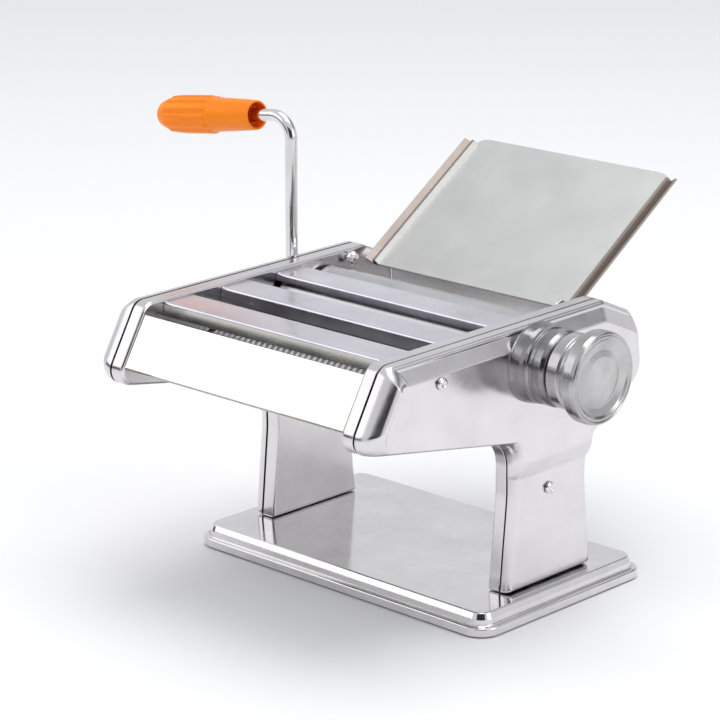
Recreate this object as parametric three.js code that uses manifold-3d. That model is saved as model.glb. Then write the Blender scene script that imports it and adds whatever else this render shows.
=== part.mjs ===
// Hand-cranked pasta roller machine: a pair of smooth rollers and three pairs of cutter rollers
// in a pressed-steel body. Millimetres. +X runs along the rollers towards the knob, -Y is the
// front, +Z is up. The origin is the centre of the base's footprint, on the table.
import * as THREE from "three";
import { mergeVertices } from "three/addons/utils/BufferGeometryUtils.js";
import Module from "manifold-3d";

const wasm = await Module();
wasm.setup();

// ---------------------------------------------------------------- driving dimensions
const gap = 0.3; // between pieces that touch
const running = 0.4; // between a turning piece and what holds it

const baseSideMargin = 12.2; // of the base beyond the legs' covers, on each side
const baseDepth = 131;
const baseHeight = 12;
const baseSheet = 1.2;
const baseCorner = 12;
const rimLift = 0.8; // the rim stands clear of the table by this much
const footRadius = 8;
const stiffenerWidth = 100;
const stiffenerDepth = 46;

const rollingWidth = 150; // working length of the rollers
const rollerEndPlay = 2.5;
const frameSheet = 1.2;
const housingFlange = 8.5; // from the side plate's inner face to the seam with its cover
const coverSheet = 1;
const legCoverDepth = 5.5; // how far each level of the cover stands out of the seam
const headCoverDepth = 9.5;
const beadHeight = 1.4; // the rolled border stands proud of the head's flat face

const axisHeight = 134; // smooth rollers' axes above the table
const drivenY = 9.9;
const rollerRadius = 13.5;
const restNip = 0.6; // between the smooth rollers at rest
const eccentricity = 1.2;
const journalRadius = 6;
const barRadius = 2;
const barClearance = 0.3;
const smoothTeeth = 18;

const cutterRadius = 8.5;
const cutterNip = 0.3;
const cutterGap = 0.7; // between the rollers of neighbouring pairs, along Y
const cutterRise = 4.9; // each pair stands this much higher than the one behind it
const cutterClearance = 1.2; // to the smooth roller when that is wide open
const cutterDirection = THREE.MathUtils.degToRad(50); // below the horizontal, seen from that roller
const cutterTeeth = 14;
const driveJournalRadius = 5.6;
const plainJournalRadius = 4;

const gearWidth = 5;
const smoothGearWidth = 8;
const gearBacklash = 0.35;

const crankRodRadius = 3.4;
const socketDepth = 23;
const crankOffset = 7.4; // from the cover's flat face to the arm's centre line
const crankArm = 92;
const crankLowBend = 6;
const crankHighBend = 12;
const gripStart = 26; // from the arm to the grip's inner end
const gripLength = 76;
const gripInnerRadius = 8;
const gripMaxRadius = 10.5;
const gripDroop = THREE.MathUtils.degToRad(7.5);

const bossRadius = 19.4;
const bossLength = 20.6;
const knobGap = 1;
const knobNeckRadius = 19.2;
const knobRimRadius = 23.6;
const knobLength = 22;
const knobWall = 1.6;
const knobPull = 4;
const shaftRadius = 5;
const detentRadius = 14; // of the index pin's path

const stripLift = 2.7; // of the strips' top over the smooth rollers
const stripSheet = 0.9;
const stripDepth = 18;
const stripSpread = 5.5; // the strips stand this much further apart than the cutter pairs
const stripBack = 9.2; // from the adjustable roller's axis back to the rear strip's edge

const traySlope = THREE.MathUtils.degToRad(33.7);
const trayLength = 102.5;
const traySheet = 1;
const trayFlange = 7; // width of each flared side flange
const trayFlangeRise = 3;
const trayBead = 2.5;
const trayCorner = 9;
const trayStart = 29.6; // from the driven roller's axis back to the tray's lower edge
const trayLift = 10.2; // of the tray's lower edge above that axis

const screwHeadRadius = 3.2;

// ---------------------------------------------------------------- places that follow
const plateInner = rollingWidth / 2 + rollerEndPlay;
const plateOuter = plateInner + frameSheet;
const seamX = plateInner + housingFlange;
const coverSeamX = seamX + gap;
const headFaceX = coverSeamX + headCoverDepth;
const legFaceX = coverSeamX + legCoverDepth;
const spanInside = plateInner - gap; // half length of what fits between the side plates
const baseWidth = 2 * (legFaceX + baseSideMargin);

const stripTop = axisHeight + rollerRadius + stripLift;
const adjustableY = drivenY - 2 * rollerRadius - restNip;
const dialY = adjustableY - eccentricity;
const openY = adjustableY - 2 * eccentricity;
const boreRadius = barRadius + eccentricity + barClearance;
const cupBoreRadius = journalRadius + eccentricity + barClearance;
const cupRadius = cupBoreRadius + eccentricity + 1.3;

const cutterSpacing = 2 * cutterRadius + cutterNip;
const cutterPitch = cutterSpacing + 2 * cutterRadius + cutterGap;
const stripPitch = cutterPitch + stripSpread;
const cutterReach = rollerRadius + cutterRadius + cutterClearance;
const rearCutterY = openY - cutterReach * Math.cos(cutterDirection);
const rearCutterZ = axisHeight - cutterReach * Math.sin(cutterDirection);
const cutterPairs = [0, 1, 2].map((i) => ({
  rearY: rearCutterY - i * cutterPitch,
  frontY: rearCutterY - i * cutterPitch - cutterSpacing,
  z: rearCutterZ + i * cutterRise,
}));
const frontPair = cutterPairs[2];

const panelBottom = [frontPair.frontY - cutterRadius - 6.6, frontPair.z - 4.8];
const panelTop = [panelBottom[0] + 14.7, panelBottom[1] + 24.7];
const noseZ = frontPair.z - cutterRadius - 5.5; // the housing's lower front corner

const legFront = -28;
const legBack = 28.5;
const footFlare = 4;
const footZ = baseHeight + gap;
const waistZ = axisHeight - 72;
const creaseZ = axisHeight - 66; // lower end of the head's bulge, on the leg
const headTop = stripTop + 3.2;

// The housing's outline, seen from the side, as [y, z, corner radius].
const footCorners = [
  [legFront - footFlare, footZ, 1],
  [legFront + 0.5, waistZ, 60],
];
const headCorners = [
  [legFront, axisHeight - 42, 17],
  [panelBottom[0] - 6.5, noseZ, 8],
  [panelTop[0] + 1.5, headTop - 1.9, 8],
  [drivenY + 29.6, headTop, 6],
  [drivenY + 55.1, axisHeight + 8.3, 9],
  [drivenY + 59.4, axisHeight - 24, 12],
  [legBack + 1.5, axisHeight - 49.5, 12],
];
const heelCorners = [
  [legBack, waistZ, 60],
  [legBack + footFlare + 1.5, footZ, 1],
];
const wideBorder = 11; // of the rolled border along the front, the top and the rear shoulder
const narrowBorder = 2.6;

const trayFoot = [drivenY + trayStart, axisHeight + trayLift];

const bossStartX = headFaceX + gap;
const bossEndX = headFaceX + bossLength;
const bossInnerX = seamX + 3.5;
const knobBackX = bossEndX + knobGap;
const knobEndX = knobBackX + knobLength;
const smoothGearX = plateOuter + 1.3;
const cupX = smoothGearX + smoothGearWidth + 2;
const cupLength = 10;
const cupWeb = 3.5;

const armX = -(headFaceX + crankOffset);
const socketMouthX = -(headFaceX - 1);

// ---------------------------------------------------------------- solids and shapes
function toSolid(geometry) {
  const bare = new THREE.BufferGeometry();
  bare.setAttribute("position", geometry.getAttribute("position"));
  bare.setIndex(geometry.index);
  const merged = mergeVertices(bare, 1e-4);
  return new wasm.Manifold(
    new wasm.Mesh({
      numProp: 3,
      vertProperties: new Float32Array(merged.getAttribute("position").array),
      triVerts: new Uint32Array(merged.index.array),
    }),
  );
}

function toGeometry(solid) {
  const mesh = solid.getMesh();
  const geometry = new THREE.BufferGeometry();
  geometry.setAttribute("position", new THREE.BufferAttribute(mesh.vertProperties, 3));
  geometry.setIndex(new THREE.BufferAttribute(mesh.triVerts, 1));
  geometry.computeVertexNormals();
  return geometry;
}

function cut(geometry, ...tools) {
  return toGeometry(tools.reduce((rest, tool) => rest.subtract(toSolid(tool)), toSolid(geometry)));
}

function join(...geometries) {
  return toGeometry(geometries.map(toSolid).reduce((all, solid) => all.add(solid)));
}

// Turns a geometry's faces outwards, whichever way its profile was drawn.
function facingOut(geometry) {
  const flat = geometry.index ? geometry.toNonIndexed() : geometry;
  const p = flat.getAttribute("position");
  const [a, b, c] = [new THREE.Vector3(), new THREE.Vector3(), new THREE.Vector3()];
  let volume = 0;
  for (let i = 0; i < p.count; i += 3) {
    a.fromBufferAttribute(p, i);
    b.fromBufferAttribute(p, i + 1);
    c.fromBufferAttribute(p, i + 2);
    volume += a.dot(b.cross(c));
  }
  if (volume < 0) {
    for (let i = 0; i < p.count; i += 3) {
      b.fromBufferAttribute(p, i + 1);
      c.fromBufferAttribute(p, i + 2);
      p.setXYZ(i + 1, c.x, c.y, c.z);
      p.setXYZ(i + 2, b.x, b.y, b.z);
    }
  }
  const out = new THREE.BufferGeometry();
  out.setAttribute("position", p);
  return mergeVertices(out, 1e-4);
}

// A body turned about the local z axis from a closed profile of [radius, z] points.
function turned(profile, segments = 18) {
  const points = [...profile, profile[0]].map(([radius, z]) => new THREE.Vector2(radius, z));
  return facingOut(new THREE.LatheGeometry(points, segments).rotateX(Math.PI / 2));
}

function rod(radius, z0, z1, segments = 14) {
  return turned([[0, z0], [radius, z0], [radius, z1], [0, z1]], segments);
}

function moved(geometry, x, y, z = 0) {
  return geometry.clone().translate(x, y, z);
}

// A flat outline extruded along the local z axis.
function extruded(points, z0, z1, holes = []) {
  const shape = new THREE.Shape(points);
  shape.holes = holes.map((hole) => new THREE.Path(hole));
  const options = { depth: z1 - z0, bevelEnabled: false, curveSegments: 12 };
  return facingOut(new THREE.ExtrudeGeometry(shape, options).translate(0, 0, z0));
}

function circle(x, y, radius, segments = 20) {
  return Array.from({ length: segments }, (_, i) => {
    const angle = (2 * Math.PI * i) / segments;
    return new THREE.Vector2(x + radius * Math.cos(angle), y + radius * Math.sin(angle));
  });
}

// An outline with an arc of a few steps at each [x, y, radius] corner.
function filleted(corners, steps = 3) {
  return corners.flatMap(([x, y, radius], i) => {
    const here = new THREE.Vector2(x, y);
    const before = new THREE.Vector2(...corners.at(i - 1).slice(0, 2));
    const after = new THREE.Vector2(...corners[(i + 1) % corners.length].slice(0, 2));
    const back = before.clone().sub(here);
    const ahead = after.clone().sub(here);
    const half = Math.acos(back.clone().normalize().dot(ahead.clone().normalize())) / 2;
    const limit = 0.45 * Math.min(back.length(), ahead.length());
    const tangent = Math.min(radius / Math.tan(half), limit);
    const round = tangent * Math.tan(half);
    const middle = back.clone().normalize().add(ahead.clone().normalize());
    const centre = middle.setLength(round / Math.sin(half)).add(here);
    const start = back.setLength(tangent).add(here).sub(centre);
    const end = ahead.setLength(tangent).add(here).sub(centre);
    const sweep = Math.atan2(start.cross(end), start.dot(end));
    return Array.from({ length: steps + 1 }, (_, k) =>
      start.clone().rotateAround(new THREE.Vector2(), (sweep * k) / steps).add(centre),
    );
  });
}

// Moves each edge of an outline inwards by its own border; edge i runs from corner i to the next.
function inset(corners, borders, radii) {
  const turn = Math.sign(THREE.ShapeUtils.area(corners.map(([x, y]) => ({ x, y }))));
  const edges = corners.map(([x, y], i) => {
    const next = corners[(i + 1) % corners.length];
    const along = new THREE.Vector2(next[0] - x, next[1] - y).normalize();
    const inwards = new THREE.Vector2(-along.y, along.x).multiplyScalar(turn * borders[i]);
    return { start: new THREE.Vector2(x, y).add(inwards), along };
  });
  return corners.map((_, i) => {
    const into = edges.at(i - 1);
    const from = edges[i];
    const between = from.start.clone().sub(into.start);
    const reach = between.cross(from.along) / into.along.cross(from.along);
    const { x, y } = into.along.clone().multiplyScalar(reach).add(into.start);
    return [x, y, radii[i]];
  });
}

// A closed skin through rings of equal point counts, each { points, z }, with flat ends.
function lofted(outlines) {
  const clockwise = THREE.ShapeUtils.isClockWise(outlines[0].points);
  const rings = outlines.map(({ points, z }) => ({ points: clockwise ? points.toReversed() : points, z }));
  const count = rings[0].points.length;
  const positions = rings.flatMap(({ points, z }) => points.flatMap((p) => [p.x, p.y, z]));
  const index = [];
  for (let r = 0; r + 1 < rings.length; r += 1) {
    for (let i = 0; i < count; i += 1) {
      const [a, b] = [r * count + i, r * count + ((i + 1) % count)];
      index.push(a, b, b + count, a, b + count, a + count);
    }
  }
  const last = (rings.length - 1) * count;
  for (const [a, b, c] of THREE.ShapeUtils.triangulateShape(rings[0].points, [])) {
    index.push(c, b, a);
  }
  for (const [a, b, c] of THREE.ShapeUtils.triangulateShape(rings.at(-1).points, [])) {
    index.push(last + a, last + b, last + c);
  }
  const geometry = new THREE.BufferGeometry();
  geometry.setAttribute("position", new THREE.Float32BufferAttribute(positions, 3));
  geometry.setIndex(index);
  return facingOut(geometry);
}

// A bent sheet: a polyline given a thickness on its left side, with mitred bends.
function sheetOutline(points, thickness) {
  const line = points.map(([x, y]) => new THREE.Vector2(x, y));
  const left = (from, to) => {
    const along = to.clone().sub(from).normalize();
    return new THREE.Vector2(-along.y, along.x);
  };
  const offset = line.map((point, i) => {
    const before = i > 0 ? left(line[i - 1], point) : left(point, line[i + 1]);
    const after = i + 1 < line.length ? left(point, line[i + 1]) : before;
    const mitre = before.clone().add(after).normalize();
    return mitre.multiplyScalar(thickness / mitre.dot(before)).add(point);
  });
  return [...line, ...offset.reverse()];
}

// A spur gear with straight-sided teeth, one of them centred on the given angle.
function gear(pitchRadius, teeth, bore, z0, z1, angle = 0) {
  const module = (2 * pitchRadius) / teeth;
  const step = (2 * Math.PI) / teeth;
  const narrow = gearBacklash / (4 * pitchRadius);
  const flank = [
    [pitchRadius - 1.2 * module, step * 0.37 - narrow],
    [pitchRadius + 0.95 * module, step * 0.14 - narrow],
  ];
  const tooth = [...flank.map(([r, a]) => [r, -a]), ...flank.toReversed()];
  const points = Array.from({ length: teeth }, (_, i) =>
    tooth.map(([r, a]) => {
      const at = angle + i * step + a;
      return new THREE.Vector2(r * Math.cos(at), r * Math.sin(at));
    }),
  ).flat();
  return extruded(points, z0, z1, [circle(0, 0, bore, 12)]);
}

// ---------------------------------------------------------------- materials
const finish = (color, roughness, metalness) =>
  new THREE.MeshStandardMaterial({ color, roughness, metalness });
const chrome = finish(0xd4d2d0, 0.12, 1);
const satinSteel = finish(0xcfcfca, 0.35, 0.9);
const stripSteel = finish(0xd6d4dc, 0.22, 0.9);
const rollerSteel = finish(0xb9babc, 0.25, 1);
const gearSteel = finish(0x8d8f92, 0.4, 1);
const rubber = finish(0x202020, 0.9, 0);
const nylon = finish(0xe4e0d4, 0.6, 0);
const orangePlastic = finish(0xff961e, 0.4, 0);

// ---------------------------------------------------------------- scene graph
const machine = new THREE.Group();
machine.name = "pasta_roller_machine";
// Drawn from the side: local x is the machine's Y, local y its Z and local z its X.
const sideView = new THREE.Group();
sideView.quaternion.setFromRotationMatrix(
  new THREE.Matrix4().makeBasis(
    new THREE.Vector3(0, 1, 0),
    new THREE.Vector3(0, 0, 1),
    new THREE.Vector3(1, 0, 0),
  ),
);
machine.add(sideView);

function add(parent, name, geometry, material, x = 0, y = 0, z = 0) {
  const mesh = new THREE.Mesh(geometry, material);
  mesh.name = name;
  mesh.position.set(x, y, z);
  parent.add(mesh);
  return mesh;
}

// ---------------------------------------------------------------- base
function plateOutline(shrink, corner) {
  const [x, y] = [baseWidth / 2 - shrink, baseDepth / 2 - shrink];
  return filleted([[x, -y, corner], [x, y, corner], [-x, y, corner], [-x, -y, corner]], 5);
}

// The stamped tray: a rolled rim, a groove, then a sloping shoulder up to the flat top.
function basePan(wall) {
  const profile = [
    [0.6, rimLift],
    [0, rimLift + 1.6],
    [0, rimLift + 3.2],
    [1.2, rimLift + 4.6],
    [2.6, rimLift + 4.6],
    [3, baseHeight - 2.4],
    [4.6, baseHeight],
  ];
  return lofted(
    profile.map(([shrink, z], i) => ({
      points: plateOutline(shrink + wall, baseCorner - shrink - wall),
      z: i === 0 ? z - wall : z - (wall * Math.min(i, 4)) / 4,
    })),
  );
}

add(machine, "base_plate", cut(basePan(0), basePan(baseSheet)), chrome);

const padTop = baseHeight - baseSheet - gap;
const padProfile = [[0, 0], [footRadius - 1.5, 0], [footRadius, 1.5], [footRadius - 1, padTop], [0, padTop]];
const footX = baseWidth / 2 - baseCorner - footRadius;
const footY = baseDepth / 2 - baseCorner - footRadius;
for (const [side, sx] of [["left", -1], ["right", 1]]) {
  for (const [end, sy] of [["front", -1], ["rear", 1]]) {
    add(machine, `foot_${end}_${side}`, turned(padProfile, 14), rubber, sx * footX, sy * footY);
  }
}

// A flat-bottomed hat channel under the top plate, which keeps the pan from flexing.
const stiffenerDrop = rimLift + 0.4;
const stiffener = sheetOutline(
  [
    [-stiffenerDepth / 2 - 8, padTop - 1.5],
    [-stiffenerDepth / 2, padTop - 1.5],
    [-stiffenerDepth / 2, stiffenerDrop],
    [stiffenerDepth / 2, stiffenerDrop],
    [stiffenerDepth / 2, padTop - 1.5],
    [stiffenerDepth / 2 + 8, padTop - 1.5],
  ],
  1.5,
);
const halfStiffener = stiffenerWidth / 2;
add(sideView, "base_stiffener", extruded(stiffener, -halfStiffener, halfStiffener), satinSteel);

// ---------------------------------------------------------------- side housings
const housing = [...footCorners, ...headCorners, ...heelCorners];

// Where a journal passes through a side plate, as [y, z, hole radius].
const plainHoles = cutterPairs.flatMap(({ rearY, frontY, z }) => [
  [rearY, z, plainJournalRadius + running],
  [frontY, z, plainJournalRadius + running],
]);
const driveHoles = cutterPairs.flatMap(({ rearY, frontY, z }) => [
  [rearY, z, driveJournalRadius + running],
  [frontY, z, plainJournalRadius + running],
]);
const bushRadius = journalRadius + 2.8;
const plateHoles = {
  left: [...driveHoles, [drivenY, axisHeight, bushRadius + gap], [dialY, axisHeight, cupRadius + gap]],
  right: [...plainHoles, [drivenY, axisHeight, bushRadius + gap], [dialY, axisHeight, cupBoreRadius + gap]],
};
const coverHoles = {
  left: [
    [drivenY, axisHeight, journalRadius + running],
    ...cutterPairs.map(({ rearY, z }) => [rearY, z, driveJournalRadius + running]),
  ],
  right: [[dialY, axisHeight, bossRadius - 6]],
};
const coverScrews = [
  [cutterPairs[1].frontY - 1.7, headTop - wideBorder - screwHeadRadius - 1.2],
  [-2, creaseZ - 5],
];

// Each hole's flats lie on its true circle, so that a round piece of that radius passes.
function drilled(geometry, holes, z0, z1) {
  const drills = holes.map(([y, z, radius]) => {
    const sides = Math.max(10, Math.round(1.6 * radius));
    return moved(rod(radius / Math.cos(Math.PI / sides), z0, z1, sides), y, z);
  });
  return cut(geometry, ...drills);
}

// A pressed plate whose turned edge reaches out to the seam.
function sideFrame(side) {
  const outline = (wall) => filleted(inset(housing, housing.map(() => wall), housing.map((c) => c[2])));
  const block = extruded(outline(0), plateInner, seamX);
  const hollow = extruded(outline(frameSheet), plateOuter, seamX + 1);
  return drilled(cut(block, hollow), plateHoles[side], plateInner - 1, plateOuter + 1);
}

// One level of the cover's skin: from the seam over its border to a flat face, less a wall.
function coverLevel(corners, borders, depth, bead, wall) {
  const outer = inset(corners, corners.map(() => wall), corners.map((c) => c[2]));
  const faceRadii = corners.map((c) => Math.min(c[2], 6));
  const inner = inset(corners, borders.map((border) => border + wall), faceRadii);
  const rim = filleted(outer);
  const face = filleted(inner);
  const rolled = [[0.45, 1 + bead / depth], [0.8, 1 + (0.7 * bead) / depth]];
  const profile = [[0, 0], [0.02, 0.55], [0.16, 0.86], ...(bead > 0 ? rolled : []), [1, 1]];
  return lofted(
    profile.map(([share, height]) => ({
      points: rim.map((point, i) => point.clone().lerp(face[i], share)),
      z: coverSeamX + height * (depth - wall) - (height === 0 ? wall : 0),
    })),
  );
}

function coverSkin(wall) {
  const legBorders = housing.map(() => narrowBorder);
  const leg = coverLevel(housing, legBorders, legCoverDepth, 0, wall);
  const crease = [
    [legBack + 0.2, creaseZ, 6],
    [legFront + 0.2, creaseZ, 6],
  ];
  const [under, front, top, shoulder] = [narrowBorder, wideBorder, wideBorder, wideBorder];
  const [rear, slant, back, creaseBorder, armpit] = [narrowBorder, narrowBorder, narrowBorder, 8, narrowBorder];
  const headBorders = [under, front, top, shoulder, rear, slant, back, creaseBorder, armpit];
  const bead = wall > 0 ? 0 : beadHeight;
  const head = coverLevel([...headCorners, ...crease], headBorders, headCoverDepth, bead, wall);
  return join(leg, head);
}

function outerCover(side) {
  const screwHoles = coverScrews.map(([y, z]) => [y, z, screwHeadRadius - 1]);
  const shell = cut(coverSkin(0), coverSkin(coverSheet));
  const bored = drilled(shell, [...coverHoles[side], ...screwHoles], seamX - 1, headFaceX + 4);
  // The rolled border is cut away where the dial boss stands against the flat face.
  const bossSeat = [[dialY, axisHeight, bossRadius + gap]];
  return side === "right" ? drilled(bored, bossSeat, headFaceX + 0.01, headFaceX + 4) : bored;
}

const screwProfile = [
  [0, -6],
  [screwHeadRadius - 1.4, -6],
  [screwHeadRadius - 1.4, 0.1],
  [screwHeadRadius, 0.1],
  [screwHeadRadius, 1],
  [screwHeadRadius - 1.2, 2],
  [0, 2],
];
for (const [side, outwards] of [["left", -1], ["right", 1]]) {
  const half = new THREE.Group();
  half.scale.z = outwards;
  sideView.add(half);
  add(half, `${side}_side_frame`, sideFrame(side), chrome);
  add(half, `${side}_outer_cover`, outerCover(side), chrome);
  const faces = [headFaceX, legFaceX];
  coverScrews.forEach(([y, z], i) => {
    const place = i === 0 ? "upper" : "lower";
    add(half, `${side}_cover_screw_${place}`, turned(screwProfile, 10), chrome, y, z, faces[i] + gap);
  });
  const trayScrew = [[0, 0.3], [2, 0.3], [2, 3.3], [4, 3.3], [4, 5], [2.6, 6.6], [0, 6.6]];
  const inwards = turned(trayScrew.map(([r, z]) => [r, -z]), 10);
  add(half, `${side}_tray_screw`, inwards, chrome, drivenY + 17, axisHeight + 14.6, plateInner);
}

// ---------------------------------------------------------------- panels, strips and rods
function across(name, outline, material) {
  add(sideView, name, extruded(outline, -spanInside, spanInside), material);
}

const fold = 3.2;
across(
  "front_panel",
  sheetOutline(
    [
      [panelTop[0] + fold, panelTop[1] - 1.9],
      [panelTop[0], panelTop[1]],
      [panelBottom[0], panelBottom[1]],
      [panelBottom[0] + fold, panelBottom[1] - 1.9],
    ],
    0.9,
  ),
  chrome,
);
const rearTopY = drivenY + 51.5;
across(
  "rear_panel",
  sheetOutline(
    [
      [rearTopY - 9, axisHeight - 28],
      [rearTopY + 2.2, axisHeight - 24],
      [rearTopY + 1, axisHeight + 5],
      [rearTopY - 5, axisHeight + 8],
    ],
    0.9,
  ),
  chrome,
);
["rear", "middle", "front"].forEach((place, i) => {
  const back = adjustableY + stripBack - i * stripPitch;
  const front = back - stripDepth;
  const lip = [
    [back, stripTop - stripSheet - (i === 0 ? 0 : 3)],
    [back, stripTop - stripSheet],
    [front, stripTop - stripSheet],
    [front - 4, stripTop - 7.5],
  ];
  const bend = i === 0 ? lip.slice(1) : lip;
  across(`${place}_guide_strip`, sheetOutline(bend.toReversed(), stripSheet), stripSteel);
});

const tieRadius = 3;
const tieDrop = cutterRadius + 1.5; // of a tie rod below the cutter axes beside it
const tiePlaces = {
  front_tie_rod: [(cutterPairs[2].rearY + cutterPairs[1].frontY) / 2, cutterPairs[1].z - tieDrop],
  middle_tie_rod: [(cutterPairs[1].rearY + cutterPairs[0].frontY) / 2, cutterPairs[0].z - tieDrop],
  rear_tie_rod: [drivenY + 36, axisHeight - 17],
};
for (const [name, [y, z]] of Object.entries(tiePlaces)) {
  add(sideView, name, rod(tieRadius, -spanInside, spanInside, 14), satinSteel, y, z);
}

// Thin strips that keep dough off the smooth rollers; the front one moves with its roller.
function scraper(axisY, towards, tip, drop) {
  const edge = [axisY + towards * (rollerRadius + 0.9) * Math.cos(tip), axisHeight - (rollerRadius + 0.9) * Math.sin(tip)];
  const foot = [edge[0] - towards * 3.5, edge[1] - drop];
  return sheetOutline(towards > 0 ? [foot, edge] : [edge, foot], 0.8);
}
const scraperTip = THREE.MathUtils.degToRad(62);
across("adjustable_roller_scraper", scraper(adjustableY, -1, scraperTip, 14), satinSteel);
across("driven_roller_scraper", scraper(drivenY, 1, scraperTip, 14), satinSteel);

// ---------------------------------------------------------------- smooth rollers
const edgeRound = 1;
function rollerProfile(bore, leftEnd, rightEnd, socketRadius = 0) {
  const half = rollingWidth / 2;
  const body = [
    [journalRadius, leftEnd],
    [journalRadius, -half],
    [rollerRadius - edgeRound, -half],
    [rollerRadius, -half + edgeRound],
    [rollerRadius, half - edgeRound],
    [rollerRadius - edgeRound, half],
    [journalRadius, half],
    [journalRadius, rightEnd],
  ];
  if (bore > 0) return [[bore, leftEnd], ...body, [bore, rightEnd]];
  const floor = leftEnd + socketDepth;
  return [[0, floor], [socketRadius, floor], [socketRadius, leftEnd], ...body, [0, rightEnd]];
}

const socketRadius = crankRodRadius + running;
const smoothGearEnd = smoothGearX + smoothGearWidth;
const drivenProfile = rollerProfile(0, socketMouthX, smoothGearEnd + 1, socketRadius);
add(sideView, "driven_roller", turned(drivenProfile, 24), rollerSteel, drivenY, axisHeight);
const adjustableProfile = rollerProfile(boreRadius, -(plateOuter + 5.3), cupX + cupLength - gap);
add(sideView, "adjustable_roller", turned(adjustableProfile, 24), rollerSteel, adjustableY, axisHeight);

const smoothPitch = rollerRadius + restNip / 2;
const smoothBore = journalRadius + gap;
const halfSmoothTooth = Math.PI / smoothTeeth;
add(
  sideView,
  "driven_roller_gear",
  gear(smoothPitch, smoothTeeth, smoothBore, smoothGearX, smoothGearEnd, Math.PI + halfSmoothTooth),
  gearSteel,
  drivenY,
  axisHeight,
);
add(
  sideView,
  "adjustable_roller_gear",
  gear(smoothPitch, smoothTeeth, smoothBore, smoothGearX, smoothGearEnd),
  gearSteel,
  adjustableY,
  axisHeight,
);

const bushProfile = [
  [journalRadius + running, -1],
  [bushRadius, -1],
  [bushRadius, frameSheet + gap],
  [bushRadius + 1.8, frameSheet + gap],
  [bushRadius + 1.8, frameSheet + gap + 0.8],
  [journalRadius + running, frameSheet + gap + 0.8],
];
for (const [side, outwards] of [["left", -1], ["right", 1]]) {
  const bush = turned(bushProfile.map(([r, z]) => [r, outwards * (plateInner + z)]), 14);
  add(sideView, `${side}_roller_bush`, bush, nylon, drivenY, axisHeight);
}

// ---------------------------------------------------------------- thickness adjustment
const offCentre = (radius, z0, z1) => moved(rod(radius, z0, z1, 18), eccentricity, 0);
const cupEnd = cupX + cupLength;
const shaftEnd = knobEndX - 3.5;
const cup = cut(rod(cupRadius, cupX, cupEnd + cupWeb, 20), offCentre(cupBoreRadius, cupX - 1, cupEnd));
const barEnd = -(plateOuter + 9.3);
const shaft = join(cup, rod(barRadius, barEnd, cupEnd + 1, 8), rod(shaftRadius, cupEnd + 1, shaftEnd, 14));
add(sideView, "eccentric_shaft", shaft, gearSteel, dialY, axisHeight);

const leftCupEnd = -(plateOuter + 5.6);
const leftCup = cut(
  rod(cupRadius, leftCupEnd - 3, -plateInner - 0.3, 20),
  offCentre(cupBoreRadius, leftCupEnd, -plateInner),
  rod(barRadius + gap, leftCupEnd - 4, leftCupEnd + 1, 8),
);
add(sideView, "left_eccentric_bush", leftCup, gearSteel, dialY, axisHeight);

// The fixed boss holds the eccentric cup and has a curved track for the index pin.
const pinRadius = 2;
const trackHalf = pinRadius + running;
const trackFrom = -0.25;
const trackTo = Math.PI + 0.25;
const trackSteps = 10;
const arc = (radius) =>
  Array.from({ length: trackSteps + 1 }, (_, i) => {
    const angle = trackFrom + ((trackTo - trackFrom) * i) / trackSteps;
    return new THREE.Vector2(radius * Math.cos(angle), radius * Math.sin(angle));
  });
const track = [...arc(detentRadius + trackHalf), ...arc(detentRadius - trackHalf).reverse()];
const pinReach = 3.4;
const bossProfile = [
  [cupRadius + running, bossInnerX],
  [bossRadius - 6 - gap, bossInnerX],
  [bossRadius - 6 - gap, bossStartX],
  [bossRadius - 0.8, bossStartX],
  [bossRadius, bossStartX + 0.8],
  [bossRadius, bossStartX + 10],
  [bossRadius - 0.7, bossStartX + 10.8],
  [bossRadius - 0.7, bossStartX + 13.4],
  [bossRadius, bossStartX + 14.2],
  [bossRadius, bossEndX - 1.2],
  [bossRadius - 1.2, bossEndX],
  [shaftRadius + running, bossEndX],
  [shaftRadius + running, cupEnd + cupWeb + running],
  [cupRadius + running, cupEnd + cupWeb + running],
];
const boss = cut(turned(bossProfile, 28), extruded(track, bossEndX - pinReach - gap, bossEndX + 1));
add(sideView, "dial_boss", boss, chrome, dialY, axisHeight);

const knobWeb = 4;
const knobInner = knobBackX + knobWeb;
const faceSeat = knobEndX - 2;
const knobProfile = [
  [shaftRadius + running, knobBackX],
  [knobNeckRadius - 1, knobBackX],
  [knobNeckRadius, knobBackX + 1],
  [knobNeckRadius, knobBackX + 8.4],
  [knobNeckRadius - 0.9, knobBackX + 9.4],
  [knobNeckRadius - 0.9, knobBackX + 10.6],
  [knobRimRadius - 0.8, knobBackX + 12],
  [knobRimRadius, knobBackX + 13.4],
  [knobRimRadius, knobEndX - 1.2],
  [knobRimRadius - 1, knobEndX],
  [knobRimRadius - knobWall, knobEndX],
  [knobRimRadius - knobWall, faceSeat],
  [knobRimRadius - knobWall - 1.6, faceSeat],
  [knobNeckRadius - knobWall - 1.4, knobBackX + 11],
  [knobNeckRadius - knobWall - 1.4, knobInner],
  [shaftRadius + running, knobInner],
];
const pinSocket = moved(rod(pinRadius + gap, knobBackX - 1, knobInner - 0.8), detentRadius, 0);
add(sideView, "knob", cut(turned(knobProfile, 28), pinSocket), chrome, dialY, axisHeight);

const faceRadius = knobRimRadius - knobWall - gap;
const faceZ = faceSeat + gap;
const faceProfile = [
  [0, faceZ - 0.6],
  [faceRadius - 3, faceZ - 0.6],
  [faceRadius - 2, faceZ],
  [faceRadius, faceZ],
  [faceRadius, faceZ + 1.6],
  [faceRadius - 1.4, faceZ + 1.6],
  [faceRadius - 4, faceZ + 0.5],
  [7, faceZ + 0.8],
  [0, faceZ + 1.9],
];
add(sideView, "knob_face", turned(faceProfile, 28), chrome, dialY, axisHeight);

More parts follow.
